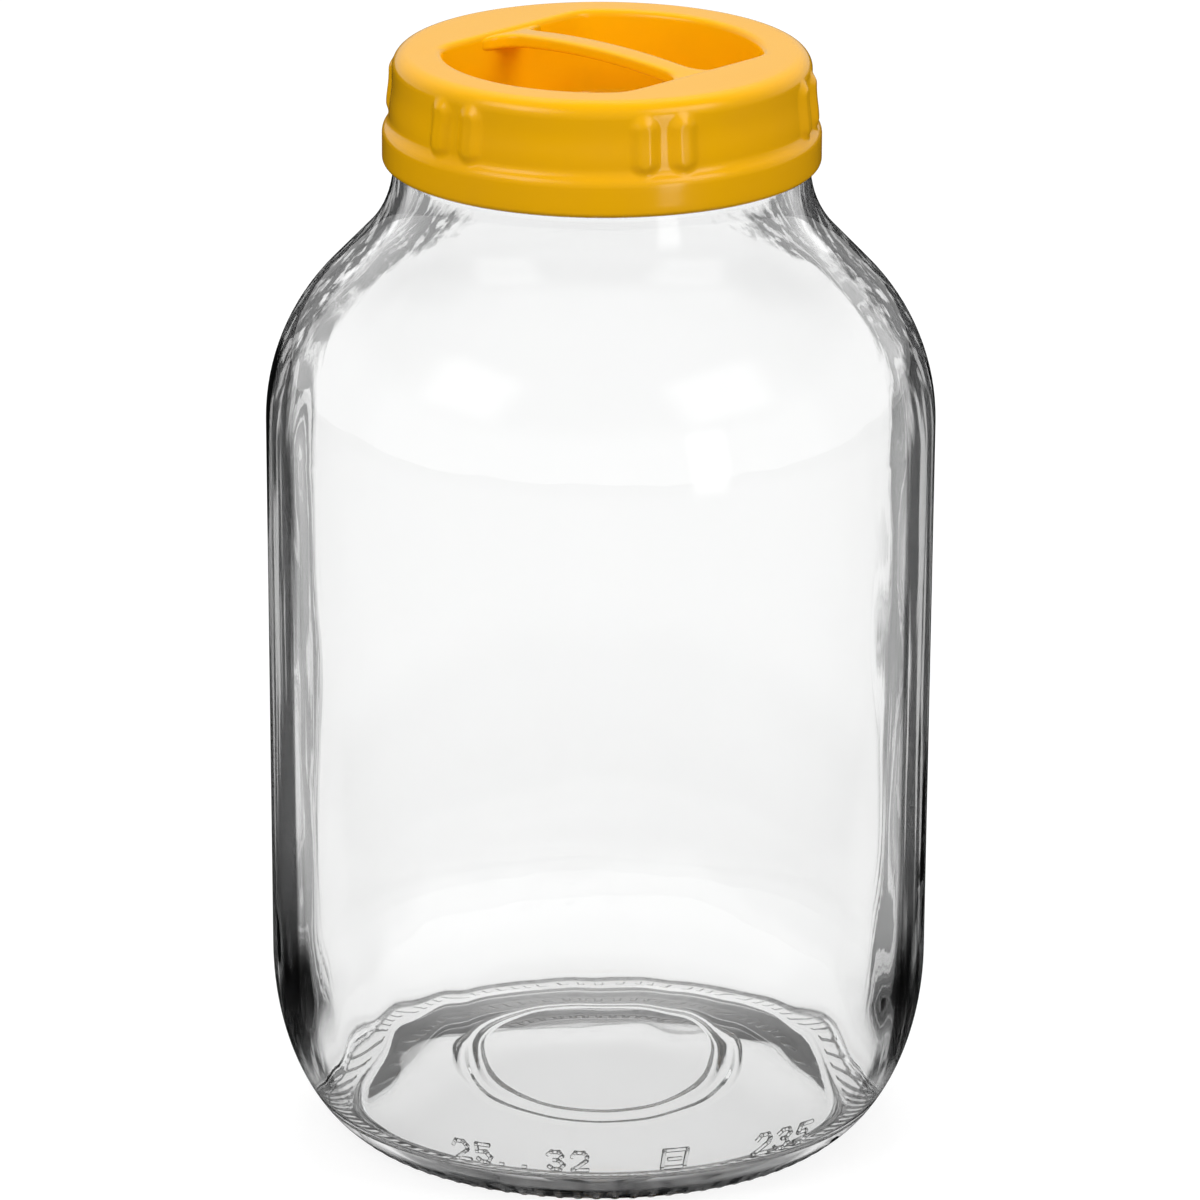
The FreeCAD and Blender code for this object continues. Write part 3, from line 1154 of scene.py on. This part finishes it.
    def rib_angles(self) -> list[float]:
        """Sets the ribs out in pairs round the cap.

        Returns:
            Directions of all ribs, in degrees from the carry bar.
        """
        half = self.rib_pair_turn / 2
        middles = [(pair + 0.5) * 360 / self.rib_pairs for pair in range(self.rib_pairs)]
        return [middle + side for middle in middles for side in (-half, half)]

    def rib_rise(self, across: float, height: float) -> float:
        """Height of a rib's surface.

        Args:
            across: distance from the rib's middle line.
            height: height of the place.

        Returns:
            A share from 0 to 1.
        """
        half = self.rib_width / 2
        low = self.hem_z() + self.rib_foot + half
        high = self.hem_z() + self.rib_head - half
        beyond = max(low - height, height - high, 0.0)
        return 1 - ease(half - self.rib_edge, half, math.hypot(across, beyond))

    def gather_steps(self, bm: bmesh.types.BMesh) -> None:
        """Turns the even steps of the sweep closer together at the ribs.

        Args:
            bm: the cap's mesh.
        """
        half = math.degrees(self.rib_width / 2 + self.rib_margin) / self.side_r
        half = min(half, self.rib_share * self.rib_pair_turn)
        bends = [0.0]
        for angle in sorted(turn % 360 for turn in self.rib_angles()):
            bends += [angle - half, angle + half]
        bends.append(360.0)
        shares = [0.0]
        for index, (first, last) in enumerate(zip(bends, bends[1:])):
            weight = self.rib_density if index % 2 else 1.0
            shares.append(shares[-1] + weight * (last - first))
        scale = 360.0 / shares[-1]
        for vert in bm.verts:
            radius = radius_of(vert)
            if radius < ON_AXIS:
                continue
            share = (math.degrees(turn_of(vert)) % 360) / scale
            place = min(bisect.bisect_right(shares, share), len(shares) - 1)
            part = (share - shares[place - 1]) / (shares[place] - shares[place - 1])
            turn = math.radians(bends[place - 1] + part * (bends[place] - bends[place - 1]))
            vert.co.x, vert.co.y = radius * math.cos(turn), radius * math.sin(turn)

    def raise_ribs(self, bm: bmesh.types.BMesh) -> None:
        """Pushes the ribs out of the side, never as far as the band.

        Args:
            bm: the cap's mesh.
        """
        angles = [math.radians(angle) for angle in self.rib_angles()]
        lowest = self.hem_z() + self.rib_foot - self.rib_below
        for vert in bm.verts:
            radius = radius_of(vert)
            if radius < self.side_r - self.rib_skin or vert.co.z < lowest:
                continue
            own = turn_of(vert)
            off = min(abs(math.remainder(own - angle, math.tau)) for angle in angles)
            rise = self.rib_rise(off * radius, vert.co.z)
            target = min(radius + self.rib_out * rise, self.band_r - self.rib_behind_band)
            if target > radius:
                spread(vert, target / radius)

    def shell(self, plastic: bpy.types.Material) -> bpy.types.Object:
        """Models skirt, ribs, top ring and pocket.

        Args:
            plastic: their material.

        Returns:
            The shell's object.
        """
        bm = bmesh.new()
        pen = Pen(bm, 0, self.top_z - self.pocket_depth)
        self.draw_top(pen)
        self.draw_skirt(pen)
        self.draw_inside(pen)
        lathe(bm, self.turns)
        self.gather_steps(bm)
        self.shape_pocket(bm)
        self.raise_ribs(bm)
        return finished(bm, "cap_shell", plastic)

    def bar_point(self, along: float, turn: float) -> tuple[float, float]:
        """Where the bar's skin is.

        Args:
            along: place along the bar, from its middle.
            turn: direction round its section, in radians.

        Returns:
            Distance from the bar's middle line, and height.
        """
        share = abs(along) / self.pocket_flat
        cosine, sine = math.cos(turn), math.sin(turn)
        stretch = (abs(cosine) ** self.bar_power + abs(sine) ** self.bar_power) ** (-1 / self.bar_power)
        top = self.top_z + self.bar_above_top - self.bar_top_sag * share ** 2
        under = self.top_z + self.bar_above_top - self.bar_thick - self.bar_under_sag * share ** 2
        run = min(max(abs(along) - (self.pocket_flat - self.bar_flare), 0.0), self.bar_flare)
        flare = self.bar_flare - math.sqrt(self.bar_flare ** 2 - run ** 2)
        half = self.bar_width / 2 + flare
        return half * cosine * stretch, (top + under) / 2 + (top - under) / 2 * sine * stretch

    def bar(self, plastic: bpy.types.Material) -> bpy.types.Object:
        """Models the arched carry bar with flared ends, sunk a little into the pocket's flat walls.

        Args:
            plastic: its material.

        Returns:
            The bar's object.
        """
        reach = self.pocket_flat + self.bar_sunk
        bm = bmesh.new()
        ring = bmesh.ops.create_circle(bm, segments=self.bar_sides, radius=1.0, cap_ends=True)["verts"]
        bmesh.ops.rotate(bm, verts=ring, matrix=Matrix.Rotation(math.pi / 2, 3, "Y"))
        bmesh.ops.translate(bm, verts=ring, vec=(-reach, 0, 0))
        end_face = bm.faces[:]
        for _ in range(self.bar_pieces):
            made = bmesh.ops.extrude_face_region(bm, geom=end_face)
            verts = [item for item in made["geom"] if isinstance(item, bmesh.types.BMVert)]
            bmesh.ops.translate(bm, verts=verts, vec=(2 * reach / self.bar_pieces, 0, 0))
            bmesh.ops.delete(bm, geom=end_face, context="FACES_ONLY")
            end_face = [item for item in made["geom"] if isinstance(item, bmesh.types.BMFace)]
        for vert in bm.verts:
            vert.co.y, vert.co.z = self.bar_point(vert.co.x, math.atan2(vert.co.z, vert.co.y))
        bmesh.ops.recalc_face_normals(bm, faces=bm.faces)
        return finished(bm, "cap_bar", plastic)


# ---------------------------------------------------------------- the studio
@dataclass(frozen=True)
class Lamp:
    """A soft rectangular lamp, placed by degrees round and above the jar, counted from the camera."""

    name: str
    azimuth: float
    elevation: float
    size: tuple[float, float]
    power: float


@dataclass(frozen=True)
class Card:
    """A soft-edged white card that shows only as gloss, placed like a lamp."""

    name: str
    azimuth: float
    elevation: float
    distance: float
    size: tuple[float, float]
    glow: float


@dataclass
class Studio:
    """Floor, light and camera."""

    azimuth: float = 43.2
    distance: float = 1924.7 * MM
    eye_z: float = 777.8 * MM
    pitch: float = 18.44
    roll: float = 0.24
    lens: float = 242.1
    sensor: float = 36.0
    sight: float = 50.0
    ambient: float = 0.55
    above: Zone = (1.0, 0.74)
    above_zone: Zone = (-0.12, 0.12)
    low_sky: Zone = (1.7, 1.0)
    low_zone: Zone = (0.30, 0.56)
    gloss_sky: Zone = (0.03, 0.50)
    gloss_zone: Zone = (-0.1, 0.75)
    # aside: painted shade of the floor as glass sees it, from beside the jar to farther out
    aside: Zone = (0.006, 0.58)
    aside_zone: Zone = (0.13, 0.27)
    aside_back: float = 0.60
    back_zone: Zone = (0.72, 0.92)
    floor_grey: float = 0.22
    floor_roughness: float = 0.9
    floor_glow: float = 0.84
    floor_half: float = 6.0
    floor_gap: float = 0.2 * MM
    lamp_distance: float = 1.6
    aim_z: float = 0.15
    card_zone: Zone = (0.22, 0.5)
    bounces: int = 20
    lamps: tuple[Lamp, ...] = (Lamp("key", -40, 38, (0.8, 0.7), 11.0), Lamp("fill", 55, 32, (0.6, 0.9), 10.0),
                               Lamp("top", 180, 62, (1.0, 0.8), 12.0))
    cards: tuple[Card, ...] = (Card("card_left", -55, 40, 1.3, (0.9, 0.7), 1.3),
                               Card("card_right", 50, 40, 1.3, (1.0, 0.7), 1.3),
                               Card("card_strip", 34, 12, 0.45, (0.12, 0.28), 2.4))

    def toward(self, azimuth: float, elevation: float) -> Vector:
        """A direction away from the jar.

        Args:
            azimuth: degrees round the jar from the camera.
            elevation: degrees above the horizon.

        Returns:
            The direction, of length 1.
        """
        turn, rise = math.radians(self.azimuth + azimuth), math.radians(elevation)
        return Vector((math.sin(turn) * math.cos(rise), -math.cos(turn) * math.cos(rise), math.sin(rise)))

    def put(self, item: bpy.types.Object, way: Vector, distance: float) -> None:
        """Stands a lamp or card in a direction and faces it to the jar."""
        item.location = way * distance + Vector((0, 0, self.aim_z))
        item.rotation_euler = way.to_track_quat("Z", "Y").to_euler()

    def camera(self) -> None:
        """Sets up a long lens, a little above the jar."""
        data = bpy.data.cameras.new("camera")
        data.sensor_width = self.sensor
        data.lens = self.lens
        data.clip_end = self.sight
        eye = bpy.data.objects.new("camera", data)
        bpy.context.scene.collection.objects.link(eye)
        eye.location = self.toward(0, 0) * self.distance + Vector((0, 0, self.eye_z))
        aim = Matrix.Rotation(math.radians(self.azimuth), 4, "Z")
        aim @= Matrix.Rotation(math.radians(90 - self.pitch), 4, "X")
        aim @= Matrix.Rotation(math.radians(self.roll), 4, "Z")
        eye.rotation_euler = aim.to_euler()
        bpy.context.scene.camera = eye

    def rays(self, tree: Tree) -> dict[Ray, Socket]:
        """Sorts the rays that arrive.

        Args:
            tree: the tree of the surface or of the surroundings.

        Returns:
            A mask for each kind of ray.
        """
        path = add(tree, "ShaderNodeLightPath").outputs
        glossy = math_node(tree, "GREATER_THAN", path["Glossy Depth"], 0.5)
        through = math_node(tree, "GREATER_THAN", path["Transmission Depth"], 0.5)
        turned = product(tree, glossy, through)
        straight = math_node(tree, "SUBTRACT", 1.0, turned)
        seen = math_node(tree, "MAXIMUM", path["Is Camera Ray"], path["Is Transmission Ray"])
        bounced = math_node(tree, "SUBTRACT", path["Is Glossy Ray"], path["Is Transmission Ray"])
        bounced = math_node(tree, "MAXIMUM", bounced, 0.0)
        return {Ray.SEEN: product(tree, seen, straight), Ray.MIRRORED: product(tree, bounced, straight),
                Ray.TURNED: turned}

    def backward(self, tree: Tree, direction: Socket) -> Socket:
        """How far a direction points to the place behind the jar.

        Args:
            tree: the tree that takes the node.
            direction: a direction of length 1.

        Returns:
            The agreement, from -1 to 1.
        """
        node = add(tree, "ShaderNodeVectorMath", operation="DOT_PRODUCT")
        feed(tree, node.inputs[0], direction)
        node.inputs[1].default_value = self.toward(180, 0)
        return node.outputs["Value"]

    def world(self) -> None:
        """Sets up white surroundings: bright behind the jar, dark in front of it, plain as light."""
        world = bpy.data.worlds.new("studio")
        world.use_nodes = True
        bpy.context.scene.world = world
        tree = world.node_tree
        sky = next(node for node in tree.nodes if node.type == "BACKGROUND")
        rays = self.rays(tree)
        place = add(tree, "ShaderNodeTexCoord").outputs["Generated"]
        backward = self.backward(tree, place)
        gloss = map_range(tree, backward, self.gloss_zone, self.gloss_sky)
        level = math_node(tree, "ADD", self.ambient, product(tree, rays[Ray.SEEN], 1.0 - self.ambient))
        level = mix(tree, rays[Ray.MIRRORED], level, gloss)
        above = map_range(tree, backward, self.above_zone, self.above)
        low = map_range(tree, parts_of(tree, place)["Z"], self.low_zone, self.low_sky)
        level = mix(tree, rays[Ray.TURNED], level, product(tree, above, low))
        feed(tree, sky.inputs["Strength"], level)
        sky.inputs["Color"].default_value = (1, 1, 1, 1)

    def floor(self) -> None:
        """Makes a plain white floor that keeps the shadow. Glass sees it with painted shade: near black in
        gloss reflections, and for rays turned inside glass a painted shadow that is near black beside the jar
        and lighter farther out and behind it.
        """
        material, tree, shader = new_material("white_floor")
        shader.inputs["Roughness"].default_value = self.floor_roughness
        shader.inputs["Specular IOR Level"].default_value = 0.0
        rays = self.rays(tree)
        place = add(tree, "ShaderNodeTexCoord").outputs["Object"]
        way = add(tree, "ShaderNodeVectorMath", operation="NORMALIZE")
        feed(tree, way.inputs[0], place)
        back = map_range(tree, self.backward(tree, way.outputs["Vector"]), self.back_zone)
        # Painted shadow: for rays turned inside glass the floor's colour darkens to near black towards the
        # jar.
        aside = map_range(tree, length_of(tree, place), self.aside_zone, self.aside)
        aside = mix(tree, back, aside, self.aside_back)
        # Painted shade: gloss reflections see the floor near black.
        aside = mix(tree, rays[Ray.MIRRORED], aside, self.aside[0])
        bent = math_node(tree, "MAXIMUM", rays[Ray.MIRRORED], rays[Ray.TURNED])
        grey = mix(tree, bent, self.floor_grey, aside)
        colour = add(tree, "ShaderNodeCombineColor")
        for channel in ("Red", "Green", "Blue"):
            feed(tree, colour.inputs[channel], grey)
        feed(tree, shader.inputs["Base Color"], colour.outputs["Color"])
        shader.inputs["Emission Color"].default_value = (1, 1, 1, 1)
        feed(tree, shader.inputs["Emission Strength"], product(tree, rays[Ray.SEEN], self.floor_glow))
        bm = bmesh.new()
        bmesh.ops.create_grid(bm, x_segments=1, y_segments=1, size=self.floor_half)
        bmesh.ops.translate(bm, verts=bm.verts, vec=(0, 0, -self.floor_gap))
        floor = finished(bm, "floor", material)

    def light(self, lamp: Lamp) -> None:
        """Sets up a lamp that no gloss or glass shows.

        Args:
            lamp: the lamp.
        """
        data = bpy.data.lights.new(lamp.name, "AREA")
        data.shape = "RECTANGLE"
        data.size, data.size_y = lamp.size
        data.energy = lamp.power
        item = bpy.data.objects.new(lamp.name, data)
        bpy.context.scene.collection.objects.link(item)
        self.put(item, self.toward(lamp.azimuth, lamp.elevation), self.lamp_distance)
        item.visible_glossy = False
        item.visible_transmission = False

    def card_material(self, card: Card) -> bpy.types.Material:
        """Makes a clear material that glows in the card's middle.

        Args:
            card: the card.

        Returns:
            The material.
        """
        material = bpy.data.materials.new(card.name)
        material.use_nodes = True
        tree = material.node_tree
        tree.nodes.clear()
        parts = parts_of(tree, add(tree, "ShaderNodeTexCoord").outputs["Object"])
        shares = []
        for axis, length in zip("XY", card.size):
            off = math_node(tree, "ABSOLUTE", parts[axis])
            soft = tuple(share * length for share in self.card_zone)
            shares.append(map_range(tree, off, soft, (1.0, 0.0)))
        glowing = add(tree, "ShaderNodeEmission")
        feed(tree, glowing.inputs["Strength"], product(tree, *shares, card.glow))
        clear = add(tree, "ShaderNodeBsdfTransparent")
        both = add(tree, "ShaderNodeAddShader")
        result = add(tree, "ShaderNodeOutputMaterial")
        feed(tree, both.inputs[0], glowing.outputs["Emission"])
        feed(tree, both.inputs[1], clear.outputs["BSDF"])
        feed(tree, result.inputs["Surface"], both.outputs["Shader"])
        return material

    def reflect(self, card: Card) -> None:
        """Sets up a card.

        Args:
            card: the card.
        """
        bm = bmesh.new()
        bmesh.ops.create_grid(bm, x_segments=1, y_segments=1, size=0.5)
        bmesh.ops.scale(bm, verts=bm.verts, vec=(*card.size, 1))
        item = finished(bm, card.name, self.card_material(card))
        self.put(item, self.toward(card.azimuth, card.elevation), card.distance)
        item.visible_camera = False
        item.visible_diffuse = False
        item.visible_transmission = False
        item.visible_shadow = False

    def build(self) -> None:
        """Sets everything up."""
        self.camera()
        self.world()
        self.floor()
        for lamp in self.lamps:
            self.light(lamp)
        for card in self.cards:
            self.reflect(card)
        bpy.context.scene.view_settings.view_transform = "Standard"
        cycles = bpy.context.scene.cycles
        cycles.max_bounces = self.bounces
        cycles.glossy_bounces = self.bounces
        cycles.transmission_bounces = self.bounces


def main() -> None:
    """Builds every piece in order and reports it."""
    logging.basicConfig(level=logging.INFO)
    Studio().build()
    streaks = Streaks()
    glass = GlassFinish().make(streaks)
    plastic = PlasticFinish().make(streaks)

    glass_jar = GlassJar()
    jar = glass_jar.build(glass)
    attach(jar, "root")
    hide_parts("jar")
    marks = HeelMarks(glass_jar).build(glass)
    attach(marks, "root")

    cap = TwistOffCap()
    shell = cap.shell(plastic)
    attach(shell, "root")
    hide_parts("lid")
    bar = cap.bar(plastic)
    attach(bar, "root")

    for piece in (jar, marks, shell, bar):
        log.info("%s: %d faces", piece.name, len(piece.data.polygons))


if __name__ == "__main__":
    main()
